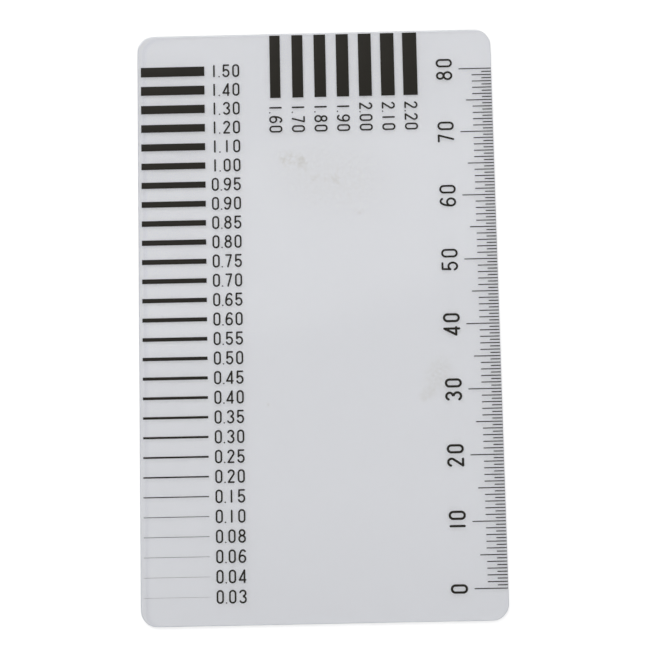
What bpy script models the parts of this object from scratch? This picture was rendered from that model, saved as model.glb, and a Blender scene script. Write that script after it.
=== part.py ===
"""Crack gauge: a clear plastic card printed with graded line widths and a millimetre rule.

The card is laid over a crack in concrete or plaster, and the line that hides the crack
gives its width. It is one piece: a thin sheet with round corners, and black ink marks
screen printed on its upper face.

Lengths are in metres and +Z is up. The origin is the centre of the underside. +Y points
to the end with the widest marks, and +X to the long edge that carries the rule.
"""

import math

import bmesh
import bpy
from mathutils import Matrix, Vector

MM = 0.001

# Sheet, the size of a business card
CARD_WIDTH = 55.0 * MM
CARD_LENGTH = 91.0 * MM
SHEET_THICKNESS = 0.5 * MM
CORNER_RADIUS = 2.5 * MM
CORNER_STEPS = 12
EDGE_BREAK = 0.04 * MM

# Ink, printed as a raised film
INK_HEIGHT = 0.02 * MM

# Crack lines, a column of level lines down the left side, widest first
LINE_PITCH = 3.0 * MM
LINE_LENGTH = 9.9 * MM
LINE_SIDE_MARGIN = 0.5 * MM
FIRST_LINE_DROP = 5.72 * MM

# Crack bars, a row of upright bars along the top edge, narrowest first
BAR_PITCH = 3.5 * MM
BAR_LENGTH = 10.0 * MM
BAR_TOP_MARGIN = 0.25 * MM
FIRST_BAR_OFFSET = 21.4 * MM

# Rule along the right edge, in a column of its own with its marks reaching in from that edge
RULE_COLUMN = 10.0 * MM
RULE_STEP = 0.5 * MM
STEPS_PER_CENTIMETRE = 20
RULE_ZERO_MARGIN = 4.75 * MM
RULE_EDGE_MARGIN = 0.06 * MM
TICK_WIDTH = 0.13 * MM
CENTIMETRE_TICK = 5.0 * MM
HALF_CENTIMETRE_TICK = 4.0 * MM
MILLIMETRE_TICK = 3.0 * MM
HALF_MILLIMETRE_TICK = 1.5 * MM

# Edges of the sheet about its centre
LEFT_EDGE = -CARD_WIDTH / 2
RIGHT_EDGE = CARD_WIDTH / 2
TOP_EDGE = CARD_LENGTH / 2
BOTTOM_EDGE = -CARD_LENGTH / 2


def clear_scene():
    for obj in list(bpy.data.objects):
        bpy.data.objects.remove(obj, do_unlink=True)


def new_collection(name):
    collection = bpy.data.collections.new(name)
    bpy.context.scene.collection.children.link(collection)
    return collection


def srgb(code):
    """The linear colour of a hex code such as 2E2C28."""
    channels = [int(code[i : i + 2], 16) / 255 for i in (0, 2, 4)]
    return [c / 12.92 if c <= 0.04045 else ((c + 0.055) / 1.055) ** 2.4 for c in channels]


def plain_material(name, code, roughness, alpha):
    material = bpy.data.materials.new(name)
    material.use_nodes = True
    shader = material.node_tree.nodes["Principled BSDF"]
    shader.inputs["Base Color"].default_value = (*srgb(code), 1.0)
    shader.inputs["Roughness"].default_value = roughness
    shader.inputs["Metallic"].default_value = 0.0
    shader.inputs["Alpha"].default_value = alpha
    material.diffuse_color = (*srgb(code), alpha)
    return material


def crack_line_widths():
    """The printed line widths in millimetres: tenths, then twentieths, then the finest four."""
    tenths = [1.5 - 0.1 * i for i in range(6)]
    twentieths = [0.95 - 0.05 * i for i in range(18)]
    finest = [0.08, 0.06, 0.04, 0.03]
    return tenths + twentieths + finest


def crack_bar_widths():
    """The printed bar widths in millimetres, from 1.60 to 2.20 by tenths."""
    return [1.6 + 0.1 * i for i in range(7)]


def rectangle(left, right, low, high):
    return {"x": (left, right), "y": (low, high)}


def crack_lines():
    """Level lines one pitch apart, each centred on its own place in the column."""
    left = LEFT_EDGE + LINE_SIDE_MARGIN
    marks = []
    for i, width in enumerate(crack_line_widths()):
        middle = TOP_EDGE - FIRST_LINE_DROP - i * LINE_PITCH
        half = width * MM / 2
        marks.append(rectangle(left, left + LINE_LENGTH, middle - half, middle + half))
    return marks


def crack_bars():
    """Upright bars one pitch apart from one line at the top edge, as many as clear the rule."""
    high = TOP_EDGE - BAR_TOP_MARGIN
    marks = []
    for i, width in enumerate(crack_bar_widths()):
        middle = LEFT_EDGE + FIRST_BAR_OFFSET + i * BAR_PITCH
        half = width * MM / 2
        if middle + half < RIGHT_EDGE - RULE_COLUMN:
            marks.append(rectangle(middle - half, middle + half, high - BAR_LENGTH, high))
    return marks


def tick_length(step):
    if step % STEPS_PER_CENTIMETRE == 0:
        return CENTIMETRE_TICK
    if step % (STEPS_PER_CENTIMETRE // 2) == 0:
        return HALF_CENTIMETRE_TICK
    if step % 2 == 0:
        return MILLIMETRE_TICK
    return HALF_MILLIMETRE_TICK


def rule_ticks():
    """Ticks from zero up, over as many whole centimetres as the straight edge holds."""
    zero = BOTTOM_EDGE + RULE_ZERO_MARGIN
    room = TOP_EDGE - CORNER_RADIUS - zero
    centimetres = int(room / (RULE_STEP * STEPS_PER_CENTIMETRE))
    marks = []
    for step in range(centimetres * STEPS_PER_CENTIMETRE + 1):
        middle = zero + step * RULE_STEP
        half = TICK_WIDTH / 2
        left = RIGHT_EDGE - tick_length(step)
        marks.append(rectangle(left, RIGHT_EDGE - RULE_EDGE_MARGIN, middle - half, middle + half))
    return marks


def on_sheet(mark):
    """Whether all four corners of a mark lie on the flat of the round-cornered sheet."""
    for x in mark["x"]:
        for y in mark["y"]:
            past_x = max(abs(x) - (RIGHT_EDGE - CORNER_RADIUS), 0.0)
            past_y = max(abs(y) - (TOP_EDGE - CORNER_RADIUS), 0.0)
            if math.hypot(past_x, past_y) > CORNER_RADIUS - EDGE_BREAK:
                return False
    return True


def card_outline():
    """A rectangle with a quarter circle at each corner, anticlockwise from the lower right."""
    points = []
    for corner, (side_x, side_y) in enumerate([(1, -1), (1, 1), (-1, 1), (-1, -1)]):
        centre = Vector((side_x * (RIGHT_EDGE - CORNER_RADIUS), side_y * (TOP_EDGE - CORNER_RADIUS)))
        for i in range(CORNER_STEPS + 1):
            angle = (corner - 1 + i / CORNER_STEPS) * math.pi / 2
            points.append(centre + CORNER_RADIUS * Vector((math.cos(angle), math.sin(angle))))
    return points


def build_sheet(collection, material):
    """The sheet: a filled flat curve as thick as the card, made a mesh, its edges just broken."""
    curve = bpy.data.curves.new("card_outline", "CURVE")
    curve.dimensions = "2D"
    curve.fill_mode = "BOTH"
    curve.extrude = SHEET_THICKNESS / 2
    points = card_outline()
    spline = curve.splines.new("POLY")
    spline.points.add(len(points) - 1)
    for place, point in zip(spline.points, points):
        place.co = (point.x, point.y, 0.0, 1.0)
    spline.use_cyclic_u = True
    drawn = bpy.data.objects.new("card_outline", curve)
    drawn.location.z = SHEET_THICKNESS / 2
    collection.objects.link(drawn)
    bpy.context.view_layer.update()
    mesh = bpy.data.meshes.new_from_object(drawn.evaluated_get(bpy.context.evaluated_depsgraph_get()))
    mesh.name = "gauge_card"
    merge_doubles(mesh)
    sheet = bpy.data.objects.new("gauge_card", mesh)
    sheet.matrix_world = drawn.matrix_world
    bpy.data.objects.remove(drawn, do_unlink=True)
    collection.objects.link(sheet)
    mesh.materials.clear()
    mesh.materials.append(material)
    edge = sheet.modifiers.new("edge_break", "BEVEL")
    edge.width = EDGE_BREAK
    edge.segments = 2
    edge.limit_method = "ANGLE"
    edge.angle_limit = math.radians(45)
    return sheet


def merge_doubles(mesh):
    work = bmesh.new()
    work.from_mesh(mesh)
    bmesh.ops.remove_doubles(work, verts=work.verts, dist=0.0000001)
    bmesh.ops.recalc_face_normals(work, faces=work.faces)
    work.to_mesh(mesh)
    work.free()


def build_ink(collection, marks, material):
    """The print: a block for each mark, rooted at the middle of the sheet's thickness."""
    root = SHEET_THICKNESS / 2
    top = SHEET_THICKNESS + INK_HEIGHT
    work = bmesh.new()
    for mark in marks:
        low = Vector((mark["x"][0], mark["y"][0], root))
        high = Vector((mark["x"][1], mark["y"][1], top))
        place = Matrix.Translation((low + high) / 2) @ Matrix.Diagonal((*(high - low), 1.0))
        bmesh.ops.create_cube(work, size=1.0, matrix=place)
    mesh = bpy.data.meshes.new("ink_marks")
    work.to_mesh(mesh)
    work.free()
    mesh.materials.append(material)
    ink = bpy.data.objects.new("ink_marks", mesh)
    ink.hide_render = True
    ink.display_type = "WIRE"
    collection.objects.link(ink)
    return ink


def print_on(sheet, ink):
    """Joins the ink to the sheet as one body, in which the ink keeps its own colour."""
    join = sheet.modifiers.new("print", "BOOLEAN")
    join.operation = "UNION"
    join.solver = "EXACT"
    join.material_mode = "TRANSFER"
    join.object = ink


def main():
    clear_scene()
    parts = new_collection("crack_gauge")
    cutters = new_collection("print_blocks")
    cutters.hide_render = True
    clear_plastic = plain_material("clear_pvc_sheet", "D5D7DA", 0.12, 0.45)
    black_ink = plain_material("black_screen_ink", "2E2C28", 0.45, 1.0)
    marks = crack_lines() + crack_bars() + rule_ticks()
    printed = [mark for mark in marks if on_sheet(mark)]
    sheet = build_sheet(parts, clear_plastic)
    ink = build_ink(cutters, printed, black_ink)
    print_on(sheet, ink)


main()
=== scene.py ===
"""Crack gauge: the looks of the clear card and of the black print on it, seen on a white table.

The card lies face up, centred on the origin. +Y points to the end with the widest marks and
+X to the long edge with the rule. Sizes are worked out in metres from millimetres.
"""

import math

import bmesh
import bpy
import numpy as np
from mathutils import Matrix, Vector


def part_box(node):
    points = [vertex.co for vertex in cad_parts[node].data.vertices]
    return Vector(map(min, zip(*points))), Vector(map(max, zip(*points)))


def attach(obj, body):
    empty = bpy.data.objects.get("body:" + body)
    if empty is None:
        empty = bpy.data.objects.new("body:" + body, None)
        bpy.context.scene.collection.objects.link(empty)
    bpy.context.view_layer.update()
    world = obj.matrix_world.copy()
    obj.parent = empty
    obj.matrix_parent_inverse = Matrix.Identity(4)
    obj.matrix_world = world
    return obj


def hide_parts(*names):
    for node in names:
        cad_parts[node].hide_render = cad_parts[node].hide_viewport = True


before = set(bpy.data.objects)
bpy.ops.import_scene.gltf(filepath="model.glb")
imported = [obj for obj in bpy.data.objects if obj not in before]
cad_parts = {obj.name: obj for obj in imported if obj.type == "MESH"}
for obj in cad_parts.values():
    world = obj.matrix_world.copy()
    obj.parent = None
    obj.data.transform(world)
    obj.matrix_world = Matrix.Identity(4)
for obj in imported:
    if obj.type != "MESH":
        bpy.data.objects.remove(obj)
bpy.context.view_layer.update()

# The sheet. A card of clear rigid PVC half a millimetre thick, extruded and polished between
# steel rolls, so both faces are glossy with a faint ripple. It is stamped out with a steel rule
# die, which rolls the upper edge down, presses a narrow rim and leaves the cut edge matt.
MM = 0.001
card_low, card_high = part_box("gauge_card")
HALF_WIDTH = (card_high.x - card_low.x) / 2
HALF_LENGTH = (card_high.y - card_low.y) / 2
INK_FILM = 0.02 * MM
SHEET_TOP = card_high.z - INK_FILM
CORNER_RADIUS = 2.5 * MM
CORNER_STEPS = 16
EDGE_STEPS = 24
INNER_RINGS = 8
QUARTER_POINTS = 6
SLOPE_POINTS = 9
SHARP_ANGLE = 50
CUT_FACE_LIMIT = 0.96
LOWER_BREAK = 0.03 * MM
ROLLED_WIDTH = 0.16 * MM
ROLLED_DEPTH = 0.08 * MM
RIM_WIDTH = 0.95 * MM
RIM_SLOPE = 0.30 * MM
RIM_DEPTH = 0.012 * MM
# Painted shade: a faint greyer line in the sheet's colour stands for the shadow that the card's
# edge throws on the table, seen through the sheet. It follows the outline moved right and down.
EDGE_SHADOW_SHIFT = (0.85 * MM, -0.40 * MM)
EDGE_SHADOW_OUTSIDE = 0.30 * MM
EDGE_SHADOW_INSIDE = 0.75 * MM
EDGE_SHADOW_START = 2.0 * MM
EDGE_SHADOW_END = 6.0 * MM
WELD_DISTANCE = 0.00002 * MM
CLEAR_PVC = "EDEEF1"
CUT_PVC = "8A909B"
# The grey of that painted edge shadow.
EDGE_SHADOW_GREY = "E8E9ED"
FINGER_DIRT = "C3BEAE"
PVC_IOR = 1.54
POLISHED_ROUGHNESS = 0.05
SMUDGED_ROUGHNESS = 0.14
RIPPLE_SCALE = 0.12 / MM
RIPPLE_DEPTH = 0.01 * MM
TORN_ROUGHNESS = 0.45
TORN_CLEARNESS = 0.6
TEAR_SCALE = 12.0 / MM
TEAR_DEPTH = 0.02 * MM


def card_edge():
    """Where the outline turns, and which way is out there, for each step round the card.

    Round a corner the turning point stays at the corner's centre and the outward direction
    swings through a right angle. Along an edge the point moves evenly from one corner's centre
    to the next, and the direction stays square to the edge.
    """
    inner = np.array((HALF_WIDTH - CORNER_RADIUS, HALF_LENGTH - CORNER_RADIUS))
    corners = np.array(((1, -1), (1, 1), (-1, 1), (-1, -1))) * inner
    points, outward = [], []
    for corner in range(4):
        angle = np.radians(np.linspace(90 * corner - 90, 90 * corner, CORNER_STEPS + 1))
        points.append(np.repeat(corners[corner][None], CORNER_STEPS + 1, axis=0))
        outward.append(np.column_stack((np.cos(angle), np.sin(angle))))
        share = np.linspace(0, 1, EDGE_STEPS + 1)[1:-1, None]
        points.append(corners[corner] * (1 - share) + corners[(corner + 1) % 4] * share)
        outward.append(np.repeat(outward[-1][-1:], EDGE_STEPS - 1, axis=0))
    return np.vstack(points), np.vstack(outward)


def edge_section():
    """The edge from the underside to the upper face, as insets and heights.

    A quarter circle breaks the lower edge, the cut stands upright, a quarter ellipse rolls the
    upper edge over, and half a cosine wave climbs from the pressed rim to the flat face.
    """
    quarter = np.linspace(0, math.pi / 2, QUARTER_POINTS)
    lower = LOWER_BREAK * (1 - np.column_stack((np.sin(quarter), np.cos(quarter))))
    rim_top = SHEET_TOP - RIM_DEPTH
    rolled_inset = ROLLED_WIDTH * (1 - np.cos(quarter))
    rolled_height = rim_top - ROLLED_DEPTH * (1 - np.sin(quarter))
    rolled = np.column_stack((rolled_inset, rolled_height))
    share = np.linspace(0, 1, SLOPE_POINTS)
    slope_inset = RIM_WIDTH - RIM_SLOPE * (1 - share)
    slope_height = rim_top + RIM_DEPTH * (1 - np.cos(math.pi * share)) / 2
    slope = np.column_stack((slope_inset, slope_height))
    under_rim = np.array(((RIM_WIDTH, 0.0),))
    return np.vstack((under_rim, lower, rolled, slope))


def sheet_surface():
    """The whole skin of the sheet as rings of points, from mid-underside out, up and back in.

    A point of an edge ring is the turning point plus (radius - inset) times the outward
    direction. The face rings run from the rim in equal shares to the card's middle line, where
    the two long sides meet and the skin closes.
    """
    turning, outward = card_edge()
    insets, heights = edge_section().T
    edge_xy = turning + (CORNER_RADIUS - insets)[:, None, None] * outward
    rim_xy = turning + (CORNER_RADIUS - RIM_WIDTH) * outward
    middle_y = np.clip(turning[:, 1], HALF_WIDTH - HALF_LENGTH, HALF_LENGTH - HALF_WIDTH)
    middle_xy = np.column_stack((np.zeros(len(turning)), middle_y))
    share = np.linspace(0, 1, INNER_RINGS + 1)[1:, None, None]
    face_xy = rim_xy * (1 - share) + middle_xy * share
    rings_xy = np.concatenate((face_xy[::-1], edge_xy, face_xy))
    rings_z = np.concatenate((np.zeros(INNER_RINGS), heights, np.full(INNER_RINGS, SHEET_TOP)))
    return np.dstack((rings_xy, np.broadcast_to(rings_z[:, None], rings_xy.shape[:2])))


def band_faces(rings, steps, closed=False):
    """Four-sided faces between neighbouring rings, each ring closed on itself.

    With closed, the last ring is joined to the first as well.
    """
    index = np.arange(rings * steps).reshape(rings, steps)
    near = index if closed else index[:-1]
    far = np.roll(index, -1, axis=0) if closed else index[1:]
    corners = (near, np.roll(near, -1, axis=1), np.roll(far, -1, axis=1), far)
    return np.stack(corners, axis=-1).reshape(-1, 4)


def make_piece(name, points, faces, materials):
    """A mesh object at the origin, welded where points meet, with its faces turned outwards."""
    mesh = bpy.data.meshes.new(name)
    mesh.from_pydata(points.reshape(-1, 3).tolist(), [], faces.tolist())
    work = bmesh.new()
    work.from_mesh(mesh)
    bmesh.ops.remove_doubles(work, verts=work.verts, dist=WELD_DISTANCE)
    bmesh.ops.recalc_face_normals(work, faces=work.faces)
    work.to_mesh(mesh)
    work.free()
    mesh.shade_smooth()
    mesh.set_sharp_from_angle(angle=math.radians(SHARP_ANGLE))
    for material in materials:
        mesh.materials.append(material)
    piece = bpy.data.objects.new(name, mesh)
    bpy.context.scene.collection.objects.link(piece)
    return piece


def colour(code):
    """The linear colour of an sRGB hex code: each channel over 12.92 in the darkest part of the
    scale, and to the power of 2.4 above it."""
    channels = [int(code[i : i + 2], 16) / 255 for i in (0, 2, 4)]
    linear = [c / 12.92 if c <= 0.04045 else ((c + 0.055) / 1.055) ** 2.4 for c in channels]
    return (*linear, 1.0)


def add_node(tree, kind, links=None, **settings):
    """A new node with its settings; links gives each socket a value or another node's output."""
    node = tree.nodes.new(kind)
    for name, value in settings.items():
        setattr(node, name, value)
    for socket, value in (links or {}).items():
        if isinstance(value, bpy.types.NodeSocket):
            tree.links.new(value, node.inputs[socket])
        else:
            node.inputs[socket].default_value = value
    return node


def new_material(name):
    """A material with an empty tree and its output, ready for a shader."""
    material = bpy.data.materials.new(name)
    material.use_nodes = True
    material.node_tree.nodes.clear()
    return material, add_node(material.node_tree, "ShaderNodeOutputMaterial")


# Smudges left by fingers, as x, y and how far they reach along and across in millimetres, turn
# in degrees and strength. The first is a broad thin film round the others. Each is full out to
# a share of its reach, and its grains go from thin to thick over a range of a cloudy noise.
SMUDGES = (
    (2.5, 22.5, 14.0, 9.0, -10.0, 0.11),
    (-3.6, 25.4, 4.2, 2.6, -10.0, 0.22),
    (-4.8, 25.4, 1.6, 1.2, 0.0, 0.31),
    (-2.2, 25.0, 1.4, 2.5, 20.0, 0.34),
    (1.0, 22.6, 4.4, 1.6, -20.0, 0.17),
    (-0.3, 22.3, 1.9, 0.9, -35.0, 0.22),
    (3.0, 22.2, 1.3, 1.7, 30.0, 0.30),
    (6.6, 17.0, 1.9, 1.0, 0.0, 0.17),
    (16.4, -11.2, 2.4, 1.4, 40.0, 0.27),
    (18.0, -8.5, 3.0, 5.0, -20.0, 0.18),
    (-8.0, -12.5, 0.45, 0.4, 0.0, 0.32),
)
SMUDGE_CORE = 0.15
GRAIN_SCALE = 1.7 / MM
GRAIN_THIN = 0.34
GRAIN_THICK = 0.64


def smudge_amount(tree, place, x, y, reach_along, reach_across, turn, strength):
    """How dirty the face is near one smudge: an oval that fades out from its middle, broken up
    by a cloudy noise with grains of 0.6 mm."""
    moved = add_node(
        tree,
        "ShaderNodeMapping",
        {
            "Vector": place,
            "Location": (x * MM, y * MM, 0.0),
            "Rotation": (0.0, 0.0, math.radians(turn)),
            "Scale": (reach_along * MM, reach_across * MM, 1.0),
        },
        vector_type="TEXTURE",
    )
    distance = add_node(tree, "ShaderNodeVectorMath", {0: moved.outputs[0]}, operation="LENGTH")
    fade = add_node(
        tree,
        "ShaderNodeMapRange",
        {
            "Value": distance.outputs["Value"],
            "From Min": 1.0,
            "From Max": SMUDGE_CORE,
            "To Max": strength,
        },
        interpolation_type="SMOOTHSTEP",
    )
    cloud = add_node(
        tree, "ShaderNodeTexNoise", {"Vector": place, "Scale": GRAIN_SCALE, "Detail": 4.0}
    )
    grains = add_node(
        tree,
        "ShaderNodeMapRange",
        {"Value": cloud.outputs["Fac"], "From Min": GRAIN_THIN, "From Max": GRAIN_THICK},
    )
    return add_node(
        tree, "ShaderNodeMath", {0: fade.outputs[0], 1: grains.outputs[0]}, operation="MULTIPLY"
    ).outputs[0]


def painted_edge_shadow(tree, place):
    """How strongly the faint line inside the left edge shows: painted shade that stands for the
    shadow of the card's edge on the table, seen through the sheet.

    It follows the card's outline, moved a little right and down, so it shows on the left and
    round the upper left corner. The inset from that outline is the corner radius less the
    length of what the folded place has past the corner's centre. The line is darkest where the
    inset is nothing, and fades quickly outwards, slowly inwards and to the right.
    """
    shift = (*EDGE_SHADOW_SHIFT, 0.0)
    centre = (HALF_WIDTH - CORNER_RADIUS, HALF_LENGTH - CORNER_RADIUS, 1.0)
    moved = add_node(tree, "ShaderNodeVectorMath", {0: place, 1: shift}, operation="SUBTRACT")
    folded = add_node(tree, "ShaderNodeVectorMath", {0: moved.outputs[0]}, operation="ABSOLUTE")
    past = add_node(
        tree, "ShaderNodeVectorMath", {0: folded.outputs[0], 1: centre}, operation="SUBTRACT"
    )
    kept = add_node(
        tree, "ShaderNodeVectorMath", {0: past.outputs[0], 1: (0.0, 0.0, 0.0)}, operation="MAXIMUM"
    )
    reach = add_node(tree, "ShaderNodeVectorMath", {0: kept.outputs[0]}, operation="LENGTH")
    across = add_node(tree, "ShaderNodeSeparateXYZ", {0: place})
    fades = (
        (reach.outputs["Value"], CORNER_RADIUS + EDGE_SHADOW_OUTSIDE, CORNER_RADIUS),
        (reach.outputs["Value"], CORNER_RADIUS - EDGE_SHADOW_INSIDE, CORNER_RADIUS),
        (across.outputs["X"], card_low.x + EDGE_SHADOW_END, card_low.x + EDGE_SHADOW_START),
    )
    amount = None
    for value, nothing, full in fades:
        fade = add_node(
            tree,
            "ShaderNodeMapRange",
            {"Value": value, "From Min": nothing, "From Max": full},
            interpolation_type="SMOOTHSTEP",
        ).outputs[0]
        if amount is not None:
            fade = add_node(
                tree, "ShaderNodeMath", {0: amount, 1: fade}, operation="MULTIPLY"
            ).outputs[0]
        amount = fade
    return amount


def clear_pvc():
    """Calendered clear PVC: nearly colourless, with the IOR of rigid PVC and the low roughness
    of a face that was pressed by polished rolls.

    The rolls leave a slow ripple about 8 mm long, which only just bends what the face mirrors.
    Finger marks make it warmer and duller. The faint line inside the left edge is painted shade
    for the edge's shadow on the table, and is a shade greyer.
    """
    material, output = new_material("clear_calendered_pvc")
    tree = material.node_tree
    place = add_node(tree, "ShaderNodeTexCoord").outputs["Object"]
    dirt = None
    for smudge in SMUDGES:
        amount = smudge_amount(tree, place, *smudge)
        if dirt is not None:
            amount = add_node(
                tree, "ShaderNodeMath", {0: dirt, 1: amount}, operation="MAXIMUM"
            ).outputs[0]
        dirt = amount
    tint = add_node(
        tree,
        "ShaderNodeMix",
        {"Factor": dirt, "A": colour(CLEAR_PVC), "B": colour(FINGER_DIRT)},
        data_type="RGBA",
    )
    # Painted shade: the edge's shadow on the table, mixed into the sheet's colour as a greyer line.
    pressed = add_node(
        tree,
        "ShaderNodeMix",
        {
            "Factor": painted_edge_shadow(tree, place),
            "A": tint.outputs["Result"],
            "B": colour(EDGE_SHADOW_GREY),
        },
        data_type="RGBA",
    )
    gloss = add_node(
        tree,
        "ShaderNodeMapRange",
        {"Value": dirt, "To Min": POLISHED_ROUGHNESS, "To Max": SMUDGED_ROUGHNESS},
    )
    ripple = add_node(
        tree, "ShaderNodeTexNoise", {"Vector": place, "Scale": RIPPLE_SCALE, "Detail": 2.0}
    )
    bump = add_node(
        tree,
        "ShaderNodeBump",
        {"Height": ripple.outputs["Fac"], "Strength": 0.3, "Distance": RIPPLE_DEPTH},
    )
    shader = add_node(
        tree,
        "ShaderNodeBsdfPrincipled",
        {
            "Base Color": pressed.outputs["Result"],
            "Roughness": gloss.outputs[0],
            "IOR": PVC_IOR,
            "Transmission Weight": 1.0,
            "Normal": bump.outputs[0],
        },
    )
    tree.links.new(shader.outputs[0], output.inputs["Surface"])
    return material


def cut_pvc():
    """The cut edge: the same PVC torn matt by the die, which holds the light and looks greyer.

    A torn plastic edge is about half matt and only part clear, and its tears are finer than a
    tenth of a millimetre.
    """
    material, output = new_material("die_cut_pvc_edge")
    tree = material.node_tree
    place = add_node(tree, "ShaderNodeTexCoord").outputs["Object"]
    tears = add_node(
        tree, "ShaderNodeTexNoise", {"Vector": place, "Scale": TEAR_SCALE, "Detail": 3.0}
    )
    bump = add_node(
        tree,
        "ShaderNodeBump",
        {"Height": tears.outputs["Fac"], "Strength": 0.5, "Distance": TEAR_DEPTH},
    )
    shader = add_node(
        tree,
        "ShaderNodeBsdfPrincipled",
        {
            "Base Color": colour(CUT_PVC),
            "Roughness": TORN_ROUGHNESS,
            "IOR": PVC_IOR,
            "Transmission Weight": TORN_CLEARNESS,
            "Normal": bump.outputs[0],
        },
    )
    tree.links.new(shader.outputs[0], output.inputs["Surface"])
    return material


# Every face that leans away from level by more than about sixteen degrees belongs to the cut.
skin = sheet_surface()
clear_sheet = make_piece("clear_sheet", skin, band_faces(*skin.shape[:2]), (clear_pvc(), cut_pvc()))
normals = np.zeros(len(clear_sheet.data.polygons) * 3)
clear_sheet.data.polygons.foreach_get("normal", normals)
cut_faces = np.abs(normals.reshape(-1, 3)[:, 2]) < CUT_FACE_LIMIT
clear_sheet.data.polygons.foreach_set("material_index", cut_faces.astype(np.int32))
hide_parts("gauge_card")
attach(clear_sheet, "root")

# The crack lines. Level lines of black ink down the left side, 1.50 to 0.03 mm wide, screen
# printed on the sheet's upper face through a fine mesh. The ink dries as a film a fiftieth of
# a millimetre high with soft shoulders, and a line that matches a crack gives its width.
LINE_PITCH = 3.0 * MM
LINE_LENGTH = 9.9 * MM
LINE_SIDE_MARGIN = 0.5 * MM
FIRST_LINE_DROP = 5.72 * MM
INK_ROOT = 0.005 * MM
INK_SHOULDER = 0.02 * MM
SHOULDER_SHARES = (0.0, 0.0, 0.3, 1.0)
INK_SPREAD = 0.014 * MM
INK_LOSS = 0.003 * MM
FULL_SPREAD_WIDTH = 0.20 * MM
BLACK_INK = "221F18"
THICK_INK = "1E1B14"
INK_IOR = 1.45
INK_SPECULAR = 0.3
INK_LEAST_ROUGHNESS = 0.48
INK_MOST_ROUGHNESS = 0.62
PATCH_SCALE = 0.6 / MM
SCREEN_PITCH = 0.12 * MM
SCREEN_TURN = 22.5
WEAVE_DEPTH = 0.004 * MM


def crack_line_widths():
    """Widths in millimetres: 1.5 to 1.0 by tenths, 0.95 to 0.10 by twentieths, then four more."""
    tenths = 1.5 - 0.1 * np.arange(6)
    twentieths = 0.95 - 0.05 * np.arange(18)
    return np.concatenate((tenths, twentieths, (0.08, 0.06, 0.04, 0.03)))


def ink_spread(width):
    """How far ink runs past each side of its stencil.

    A mark as wide as the full spread width, or wider, gets the whole spread. A finer one gets
    the spread times the square of its share of that width, less the loss times the rest, so
    the very finest print a little finer than their stencil.
    """
    part = np.minimum(width / FULL_SPREAD_WIDTH, 1.0) ** 2
    return INK_SPREAD * part - INK_LOSS * (1 - part)


def ink_rise(film):
    """How high the rings of an ink mark stand over the sheet's face: one just under it, then
    0.4, 0.8 and the whole of the film."""
    return np.array((-INK_ROOT, 0.4 * film, 0.8 * film, film))


def ink_blocks(left, right, low, high):
    """Rectangles of ink with soft shoulders, as points and faces.

    Each is four rings of four corners. The rings rise from just under the sheet's face to the
    film's full height, and the last two are drawn in by a share of the shoulder, which is never
    more than a third of the rectangle's narrow side.
    """
    left, right, low, high = np.broadcast_arrays(left, right, low, high)
    shoulder = np.minimum(INK_SHOULDER, np.minimum(right - left, high - low) / 3)
    drawn_in = np.array(SHOULDER_SHARES) * shoulder[:, None]
    height = SHEET_TOP + ink_rise(INK_FILM)
    west, east = left[:, None] + drawn_in, right[:, None] - drawn_in
    south, north = low[:, None] + drawn_in, high[:, None] - drawn_in
    x = np.stack((west, east, east, west), axis=-1)
    y = np.stack((south, south, north, north), axis=-1)
    points = np.stack((x, y, np.broadcast_to(height[None, :, None], x.shape)), axis=-1)
    block = np.vstack((band_faces(4, 4), ((3, 2, 1, 0), (12, 13, 14, 15))))
    faces = block[None] + 16 * np.arange(len(left))[:, None, None]
    return points.reshape(-1, 3), faces.reshape(-1, 4)


def black_screen_ink():
    """Solvent ink on PVC: warm black and half matt, with the weave of the screen just in it.

    The resin of such an ink has an IOR of about 1.45. The film is a little thicker, blacker and
    more matt in patches of a millimetre or two. The screen has 120 threads a centimetre,
    0.083 mm apart, and is drawn at 0.12 mm to show. Blender's wave repeats every tenth of pi.
    """
    material, output = new_material("black_screen_ink")
    tree = material.node_tree
    place = add_node(tree, "ShaderNodeTexCoord").outputs["Object"]
    turned = add_node(
        tree,
        "ShaderNodeMapping",
        {"Vector": place, "Rotation": (0.0, 0.0, math.radians(SCREEN_TURN))},
    ).outputs[0]
    threads = []
    for direction in ("X", "Y"):
        wave = add_node(
            tree,
            "ShaderNodeTexWave",
            {"Vector": turned, "Scale": math.pi / (10 * SCREEN_PITCH)},
            bands_direction=direction,
        )
        threads.append(wave.outputs["Fac"])
    weave = add_node(
        tree, "ShaderNodeMath", {0: threads[0], 1: threads[1]}, operation="MULTIPLY"
    ).outputs[0]
    bump = add_node(
        tree, "ShaderNodeBump", {"Height": weave, "Strength": 0.4, "Distance": WEAVE_DEPTH}
    )
    patches = add_node(
        tree, "ShaderNodeTexNoise", {"Vector": place, "Scale": PATCH_SCALE, "Detail": 4.0}
    )
    matting = add_node(
        tree,
        "ShaderNodeMapRange",
        {
            "Value": patches.outputs["Fac"],
            "To Min": INK_LEAST_ROUGHNESS,
            "To Max": INK_MOST_ROUGHNESS,
        },
    )
    shade = add_node(
        tree,
        "ShaderNodeMix",
        {"Factor": patches.outputs["Fac"], "A": colour(BLACK_INK), "B": colour(THICK_INK)},
        data_type="RGBA",
    )
    shader = add_node(
        tree,
        "ShaderNodeBsdfPrincipled",
        {
            "Base Color": shade.outputs["Result"],
            "Roughness": matting.outputs[0],
            "IOR": INK_IOR,
            "Specular IOR Level": INK_SPECULAR,
            "Normal": bump.outputs[0],
        },
    )
    tree.links.new(shader.outputs[0], output.inputs["Surface"])
    return material


ink = black_screen_ink()


def print_ink(name, points, faces):
    """One group of printed marks as a piece that lies on the sheet and moves with it."""
    marks = make_piece(name, points, faces, (ink,))
    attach(marks, "root")


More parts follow.
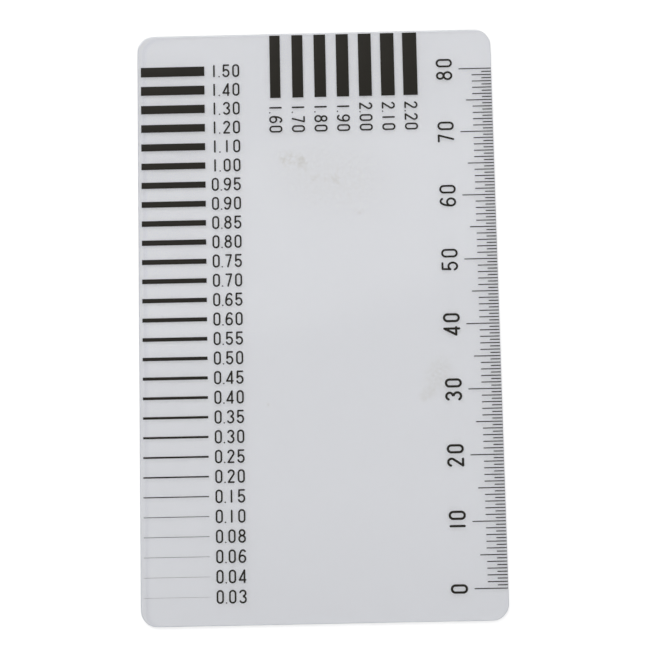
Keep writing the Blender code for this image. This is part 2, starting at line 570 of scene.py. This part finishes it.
line_widths = crack_line_widths()
line_half = line_widths * MM / 2 + ink_spread(line_widths * MM)
line_y = card_high.y - FIRST_LINE_DROP - LINE_PITCH * np.arange(len(line_half))
line_left = card_low.x + LINE_SIDE_MARGIN
print_ink(
    "crack_lines",
    *ink_blocks(line_left, line_left + LINE_LENGTH, line_y - line_half, line_y + line_half),
)

# The numbers of the crack lines. Each line's width in millimetres stands to its right, in plain
# technical figures of one stroke width, printed in the same pass of the same black ink.
# A figure is drawn on its own centre lines, in halves of its own width.
FIGURE_HEIGHT = 4.3
LINE_NUMBER_HALF_WIDTH = 0.4175 * MM
LINE_NUMBER_STROKE = 0.263 * MM
LINE_NUMBER_START = 1.50 * MM
FIGURE_PITCH = 1.52 * MM
POINT_ROOM = 0.35 * MM
POINT_AFTER_FIGURE = 0.92 * MM
POINT_AFTER_ONE = 0.78 * MM
POINT_DROP = 2.18
POINT_HALF = 0.03
POINT_STROKE = 0.21 * MM
STROKE_END_STEPS = 4
STROKE_DROP = 0.001 * MM
ARCH_SHARES = (1.0, 1.0, 0.9, 0.6)
BOWL_STEPS = 15
FEWEST_BOWL_STEPS = 4
SWEEP_POINTS = 9


def bowl(x, y, half_width, half_height, start, end):
    """Part of an oval: its centre, plus its halves times the cosine and sine of an angle that
    runs evenly from start to end in degrees, in so many steps to the half turn."""
    steps = max(FEWEST_BOWL_STEPS, int(abs(end - start) / 360 * 2 * BOWL_STEPS))
    angle = np.radians(np.linspace(start, end, steps + 1))
    return np.column_stack((x + half_width * np.cos(angle), y + half_height * np.sin(angle)))


def line(*ends):
    """A straight stroke between two points."""
    return np.array(ends, dtype=float)


def sweep(*controls):
    """A curved stroke pulled by four control points: the cubic Bezier sum over 0 to 1."""
    share = np.linspace(0, 1, SWEEP_POINTS)[:, None]
    rest = 1 - share
    a, b, c, d = np.array(controls, dtype=float)
    return a * rest**3 + 3 * b * share * rest**2 + 3 * c * share**2 * rest + d * share**3


def figure_strokes(figure):
    """The strokes of one figure, each with whether it closes on itself."""
    top = FIGURE_HEIGHT
    if figure == "0":
        return [(np.vstack((bowl(0, top - 1, 1, 1, 0, 180), bowl(0, 1, 1, 1, 180, 360))), True)]
    if figure == "1":
        return [(line((0, 0.1), (0, top - 0.15)), False)]
    if figure == "2":
        hook = bowl(0, top - 1, 1, 1, 166, -35)
        return [
            (hook, False),
            (line(hook[-1], (-1, 0)), False),
            (line((-1, 0), (0.93, 0)), False),
        ]
    if figure == "3":
        return [
            (bowl(0, top - 0.97, 1, 0.97, 160, -75), False),
            (bowl(0, 1.08, 1.08, 1.08, 75, -150), False),
        ]
    if figure == "4":
        return [
            (line((0.65, top), (-1.14, 0.85)), False),
            (line((-1.14, 0.85), (1.02, 0.85)), False),
            (line((0.65, top), (0.65, 0)), False),
        ]
    if figure == "5":
        belly = bowl(-0.05, 1.28, 1.08, 1.28, 145, -155)
        return [
            (line((0.92, top), (-0.85, top)), False),
            (line((-0.85, top), belly[0]), False),
            (belly, False),
        ]
    if figure == "7":
        return [(line((-0.84, top), (1, top)), False), (line((1, top), (-0.2, 0)), False)]
    if figure == "8":
        upper = bowl(0, top - 0.98, 0.92, 0.98, 0, 360)[:-1]
        lower = bowl(0, 1.14, 1.08, 1.14, 0, 360)[:-1]
        return [(upper, True), (lower, True)]
    belly = bowl(0, 1.2, 1.08, 1.2, 0, 360)[:-1]
    back = sweep((-1.08, 1.2), (-1.08, 2.9), (-0.6, top), (0.2, top))
    lip = sweep((0.2, top), (0.55, top), (0.8, top - 0.15), (0.97, top - 0.48))
    six = [(belly, True), (np.vstack((back, lip[1:])), False)]
    if figure == "6":
        return six
    return [((0, top) - stroke, closed) for stroke, closed in six]


def ink_stroke(path, width, closed, film):
    """One stroke of ink, as points and faces: a low arch as high as the film, carried along the
    path.

    Across the path a point lies its arch share of half the width to the side. At an open end
    the path goes on in a half circle: forward by the sine of an angle, while the width shrinks
    by its cosine, so the stroke ends round.
    """
    before, after = np.roll(path, 1, axis=0), np.roll(path, -1, axis=0)
    if not closed:
        before[0], after[-1] = path[0], path[-1]
    along = after - before
    along /= np.linalg.norm(along, axis=1, keepdims=True)
    shrink = np.ones(len(path))
    if not closed:
        angle = np.linspace(0, math.pi / 2, STROKE_END_STEPS + 1)[1:, None]
        reach = np.sin(angle) * width / 2
        path = np.vstack(((path[0] - reach * along[0])[::-1], path, path[-1] + reach * along[-1]))
        shrink = np.concatenate((np.cos(angle[::-1, 0]), shrink, np.cos(angle[:, 0])))
        ends = np.repeat(along[:1], STROKE_END_STEPS, 0), np.repeat(along[-1:], STROKE_END_STEPS, 0)
        along = np.vstack((ends[0], along, ends[1]))
    aside = np.column_stack((-along[:, 1], along[:, 0]))
    shares = np.array(ARCH_SHARES)
    across = np.concatenate((-shares, shares[::-1])) * width / 2
    rise = ink_rise(film)
    flat = path[:, None] + (shrink[:, None] * across)[:, :, None] * aside[:, None]
    height = np.broadcast_to(SHEET_TOP + np.concatenate((rise, rise[::-1])), flat.shape[:2])
    faces = band_faces(*flat.shape[:2], closed=closed)
    return np.dstack((flat, height)).reshape(-1, 3), faces


def figure_centres(number):
    """How far along each character of a number stands from the first, and the point with it."""
    centres, reach = [], 0.0
    for place, character in enumerate(number):
        if character == ".":
            after = POINT_AFTER_ONE if number[place - 1] == "1" else POINT_AFTER_FIGURE
            centres.append(reach - FIGURE_PITCH + after)
            reach += POINT_ROOM
        else:
            centres.append(reach)
            reach += FIGURE_PITCH
    return centres


def write_number(number, centres, x, y, turn, half_width, stroke):
    """The ink strokes of a number whose first figure has its middle at (x, y).

    Each stroke's points are scaled from halves of a figure's width, moved along to the figure's
    centre, turned by the given angle in degrees about (x, y) and moved there. A figure's
    strokes get lower one by one, by a twentieth of the film, so that where they cross no two
    tops fall together.
    """
    angle = math.radians(turn)
    turning = np.array(((math.cos(angle), math.sin(angle)), (-math.sin(angle), math.cos(angle))))
    parts = []
    for character, centre in zip(number, centres):
        strokes = [(line((-POINT_HALF, 0), (POINT_HALF, 0)), False)]
        shift = (0.0, -POINT_DROP)
        width = POINT_STROKE
        if character != ".":
            strokes = figure_strokes(character)
            shift = (0.0, -FIGURE_HEIGHT / 2)
            width = stroke
        for place, (path, closed) in enumerate(strokes):
            placed = (path + shift) * half_width + (centre, 0.0)
            film = INK_FILM - place * STROKE_DROP
            parts.append(ink_stroke(placed @ turning + (x, y), width, closed, film))
    return parts


def print_numbers(name, parts):
    """Joins the strokes of a group of numbers into one piece of print: the points follow each
    other, and each stroke's faces count on from the points before its own."""
    stroke_points, stroke_faces = zip(*parts)
    starts = np.cumsum([0] + [len(points) for points in stroke_points[:-1]])
    faces = [own + start for own, start in zip(stroke_faces, starts)]
    print_ink(name, np.vstack(stroke_points), np.vstack(faces))


number_x = line_left + LINE_LENGTH + LINE_NUMBER_START
line_number_parts = []
for width, y in zip(line_widths, line_y):
    label = f"{width:.2f}"
    centres = figure_centres(label)
    line_number_parts += write_number(
        label,
        centres,
        number_x,
        y,
        turn=0,
        half_width=LINE_NUMBER_HALF_WIDTH,
        stroke=LINE_NUMBER_STROKE,
    )
print_numbers("crack_line_numbers", line_number_parts)

# The crack bars. Seven upright bars of the same ink along the top edge, 1.60 to 2.20 mm wide,
# for cracks wider than the lines. They stop a quarter of a millimetre short of the edge, so
# that the die never cuts through ink.
BAR_PITCH = 3.5 * MM
BAR_LENGTH = 10.0 * MM
BAR_TOP_MARGIN = 0.25 * MM
FIRST_BAR_OFFSET = 21.4 * MM
BAR_COUNT = 7
# The widths are in millimetres, as the bars' numbers give them.
FIRST_BAR_WIDTH = 1.6
BAR_WIDTH_STEP = 0.1
bar_widths = FIRST_BAR_WIDTH + BAR_WIDTH_STEP * np.arange(BAR_COUNT)
bar_half = bar_widths * MM / 2 + ink_spread(bar_widths * MM)
bar_x = card_low.x + FIRST_BAR_OFFSET + BAR_PITCH * np.arange(len(bar_half))
bar_top = card_high.y - BAR_TOP_MARGIN
print_ink(
    "crack_bars", *ink_blocks(bar_x - bar_half, bar_x + bar_half, bar_top - BAR_LENGTH, bar_top)
)

# The numbers of the crack bars. The same small figures, turned a quarter clockwise so that
# each reads down from the foot of its bar, with its height centred under the bar.
BAR_NUMBER_DROP = 1.56 * MM
bar_number_y = bar_top - BAR_LENGTH - BAR_NUMBER_DROP
bar_number_parts = []
for width, x in zip(bar_widths, bar_x):
    label = f"{width:.2f}"
    centres = figure_centres(label)
    bar_number_parts += write_number(
        label,
        centres,
        x,
        bar_number_y,
        turn=-90,
        half_width=LINE_NUMBER_HALF_WIDTH,
        stroke=LINE_NUMBER_STROKE,
    )
print_numbers("crack_bar_numbers", bar_number_parts)

# The rule. Ticks of ink reach in from the right edge every half millimetre over 80 mm, and
# four lengths mark the centimetre, its half, the millimetre and its half.
# Like the bars they end just short of the cut.
RULE_STEP = 0.5 * MM
RULE_STEPS = 160
STEPS_PER_CENTIMETRE = 20
RULE_ZERO_MARGIN = 4.75 * MM
RULE_EDGE_MARGIN = 0.06 * MM
TICK_WIDTH = 0.13 * MM
TICK_SPREAD = 0.013 * MM
TICK_END_SPREAD = 0.05 * MM
CENTIMETRE_TICK = 5.0 * MM
HALF_CENTIMETRE_TICK = 4.0 * MM
MILLIMETRE_TICK = 3.0 * MM
HALF_MILLIMETRE_TICK = 1.5 * MM
tick_step = np.arange(RULE_STEPS + 1)
tick_length = np.select(
    (
        tick_step % STEPS_PER_CENTIMETRE == 0,
        tick_step % (STEPS_PER_CENTIMETRE // 2) == 0,
        tick_step % 2 == 0,
    ),
    (CENTIMETRE_TICK, HALF_CENTIMETRE_TICK, MILLIMETRE_TICK),
    HALF_MILLIMETRE_TICK,
)
tick_half = TICK_WIDTH / 2 + TICK_SPREAD
tick_y = card_low.y + RULE_ZERO_MARGIN + RULE_STEP * tick_step
print_ink(
    "rule_ticks",
    *ink_blocks(
        card_high.x - tick_length - TICK_END_SPREAD,
        card_high.x - RULE_EDGE_MARGIN,
        tick_y - tick_half,
        tick_y + tick_half,
    ),
)

# The numbers of the rule. Bolder and taller figures, 0 to 80 by tens, turned a quarter
# anticlockwise so that they read with the rule's edge below them. Each pair stands across its
# own centimetre tick, and the upper four numbers are printed a little finer.
RULE_NUMBER_HALF_WIDTH = 0.52 * MM
RULE_NUMBER_STROKE = 0.355 * MM
RULE_FINE_STROKE = 0.31 * MM
RULE_FIRST_FINE = 5
RULE_NUMBER_INSET = 7.32 * MM
RULE_FIGURE_PITCH = 2.01 * MM
RULE_TENS_OFFSET = 1.05 * MM
RULE_ONE_SHIFT = 0.40 * MM
rule_number_x = card_high.x - RULE_NUMBER_INSET
rule_number_parts = []
for tens in range(RULE_STEPS // STEPS_PER_CENTIMETRE + 1):
    label = str(10 * tens)
    y = tick_y[STEPS_PER_CENTIMETRE * tens]
    centres = [0.0]
    if tens > 0:
        first = RULE_ONE_SHIFT if tens == 1 else 0.0
        centres = [first - RULE_TENS_OFFSET, RULE_FIGURE_PITCH - RULE_TENS_OFFSET]
    stroke = RULE_NUMBER_STROKE if tens < RULE_FIRST_FINE else RULE_FINE_STROKE
    rule_number_parts += write_number(
        label,
        centres,
        rule_number_x,
        y,
        turn=90,
        half_width=RULE_NUMBER_HALF_WIDTH,
        stroke=stroke,
    )
print_numbers("rule_numbers", rule_number_parts)

# The table. A matt white top a tenth of a millimetre under the card, which is never quite flat.
# It keeps the soft shade of the card and of the ink, and is lifted to white only where it is
# looked at, so no light is added to the card.
TABLE_GAP = 0.10 * MM
TABLE_HALF = 3.0
TABLE_WHITE = "F2F2F2"
TABLE_LIFT = 0.40


def white_table():
    """Matt white, lifted to plain white for the eye, in the gloss and through the clear sheet."""
    material, output = new_material("matt_white_table")
    tree = material.node_tree
    rays = add_node(tree, "ShaderNodeLightPath").outputs
    seen = rays["Is Camera Ray"]
    for other in ("Is Glossy Ray", "Is Transmission Ray"):
        seen = add_node(
            tree, "ShaderNodeMath", {0: seen, 1: rays[other]}, operation="MAXIMUM"
        ).outputs[0]
    lift = add_node(tree, "ShaderNodeMath", {0: seen, 1: TABLE_LIFT}, operation="MULTIPLY")
    matt = add_node(tree, "ShaderNodeBsdfDiffuse", {"Color": colour(TABLE_WHITE)})
    glow = add_node(tree, "ShaderNodeEmission", {"Strength": lift.outputs[0]})
    both = add_node(tree, "ShaderNodeAddShader", {0: matt.outputs[0], 1: glow.outputs[0]})
    tree.links.new(both.outputs[0], output.inputs["Surface"])
    return material


table_mesh = bpy.data.meshes.new("table")
table_corners = TABLE_HALF * np.array(((-1, -1, 0), (1, -1, 0), (1, 1, 0), (-1, 1, 0)))
table_mesh.from_pydata((table_corners - (0, 0, TABLE_GAP)).tolist(), [], [(0, 1, 2, 3)])
table_mesh.materials.append(white_table())
table = bpy.data.objects.new("table", table_mesh)
bpy.context.scene.collection.objects.link(table)

# The light. A pale room with a grey ceiling that is darkest over the foot of the card, on the
# camera's own side, and two large soft lamps. A paler part of the ceiling lies where the upper
# half of the card mirrors it.
CEILING_EDGE = 0.06
CEILING_LEVEL = 0.58
CEILING_SPREAD = 24.0
WALL_RISE = 0.575
GLOW_MIDDLE = (-8.0, 12.8)
GLOW_REACH = (62.0, 16.5)
GLOW_TURN = 14.0
GLOW_CORE = 0.75
GLOW_RISE = 0.395
CAMERA_PLACE = Vector((3.17, -38.865, 278.25)) * MM


def ceiling_glow(tree, direction):
    """A soft round patch, given in millimetres by the oval of the card that mirrors it to the
    camera.

    The mirrored direction over its own height is the point of the card, less the camera's
    foot, over the camera's height. So the patch is full inside the oval and falls to nothing
    over its outer quarter.
    """
    parts = add_node(tree, "ShaderNodeSeparateXYZ", {0: direction})
    inverse = add_node(
        tree, "ShaderNodeMath", {0: 1.0, 1: parts.outputs["Z"]}, operation="DIVIDE"
    )
    slope = add_node(
        tree,
        "ShaderNodeVectorMath",
        {0: direction, "Scale": inverse.outputs[0]},
        operation="SCALE",
    )
    height = CAMERA_PLACE.z / MM
    foot = (CAMERA_PLACE.x / MM, CAMERA_PLACE.y / MM)
    moved = add_node(
        tree,
        "ShaderNodeMapping",
        {
            "Vector": slope.outputs[0],
            "Location": (
                (GLOW_MIDDLE[0] - foot[0]) / height,
                (GLOW_MIDDLE[1] - foot[1]) / height,
                1.0,
            ),
            "Rotation": (0.0, 0.0, math.radians(GLOW_TURN)),
            "Scale": (GLOW_REACH[0] / height, GLOW_REACH[1] / height, 1.0),
        },
        vector_type="TEXTURE",
    )
    distance = add_node(tree, "ShaderNodeVectorMath", {0: moved.outputs[0]}, operation="LENGTH")
    return add_node(
        tree,
        "ShaderNodeMapRange",
        {
            "Value": distance.outputs["Value"],
            "From Min": 1.0,
            "From Max": GLOW_CORE,
            "To Max": GLOW_RISE,
        },
        interpolation_type="SMOOTHSTEP",
    ).outputs[0]


def pale_room():
    """Dark over the foot of the card, grey on the ceiling and white at the sides.

    The ceiling comes in over a smooth step as the direction leans towards +Y, and the sides
    over another as it leans away from straight up. That angle, in radians, is the arc cosine
    of the direction's height.
    """
    world = bpy.data.worlds.new("pale_room")
    world.use_nodes = True
    tree = world.node_tree
    tree.nodes.clear()
    direction = add_node(tree, "ShaderNodeTexCoord").outputs["Generated"]
    parts = add_node(tree, "ShaderNodeSeparateXYZ", {0: direction})
    ceiling = add_node(
        tree,
        "ShaderNodeMapRange",
        {
            "Value": parts.outputs["Y"],
            "From Min": -CEILING_EDGE,
            "From Max": CEILING_EDGE,
            "To Max": CEILING_LEVEL,
        },
        interpolation_type="SMOOTHSTEP",
    )
    lean = add_node(tree, "ShaderNodeMath", {0: parts.outputs["Z"]}, operation="ARCCOSINE")
    sides = add_node(
        tree,
        "ShaderNodeMapRange",
        {
            "Value": lean.outputs[0],
            "From Max": math.radians(CEILING_SPREAD),
            "To Max": WALL_RISE,
        },
        interpolation_type="SMOOTHSTEP",
    )
    level = ceiling_glow(tree, direction)
    for part in (ceiling, sides):
        level = add_node(
            tree, "ShaderNodeMath", {0: level, 1: part.outputs[0]}, operation="ADD"
        ).outputs[0]
    glow = add_node(tree, "ShaderNodeBackground", {"Strength": level})
    add_node(tree, "ShaderNodeOutputWorld", {"Surface": glow.outputs[0]})
    return world


def soft_lamp(name, place, size, watts):
    """A square area lamp that faces the middle of the card."""
    lamp = bpy.data.lights.new(name, "AREA")
    lamp.shape = "SQUARE"
    lamp.size = size
    lamp.energy = watts
    holder = bpy.data.objects.new(name, lamp)
    holder.location = place
    holder.rotation_euler = (-Vector(place)).to_track_quat("-Z", "Y").to_euler()
    bpy.context.scene.collection.objects.link(holder)


bpy.context.scene.world = pale_room()
soft_lamp("window_lamp", place=(-0.6, 0.95, 0.95), size=0.8, watts=4.0)
soft_lamp("side_lamp", place=(0.1, -1.0, 0.9), size=0.6, watts=2.2)

# The camera. It hangs 0.28 m over the foot of the card and looks at its middle, eight degrees
# off straight down, with the card turned by one degree, as the photograph shows it.
CAMERA_AIM = Vector((0.515, -0.102, 0.50)) * MM
CAMERA_UP = Vector((0.02142, 0.99024, 0.13774))
CAMERA_LENS = 102.57
SENSOR_WIDTH = 36.0

camera_data = bpy.data.cameras.new("camera")
camera_data.lens = CAMERA_LENS
camera_data.sensor_width = SENSOR_WIDTH
camera_data.clip_start = 10 * MM
camera_data.clip_end = 10.0
camera = bpy.data.objects.new("camera", camera_data)
backward = (CAMERA_PLACE - CAMERA_AIM).normalized()
sideways = CAMERA_UP.cross(backward).normalized()
upward = backward.cross(sideways)
camera.matrix_world = Matrix.Translation(CAMERA_PLACE) @ Matrix(
    (sideways, upward, backward)
).transposed().to_4x4()
bpy.context.scene.collection.objects.link(camera)
bpy.context.scene.camera = camera
bpy.context.scene.view_settings.view_transform = "Standard"
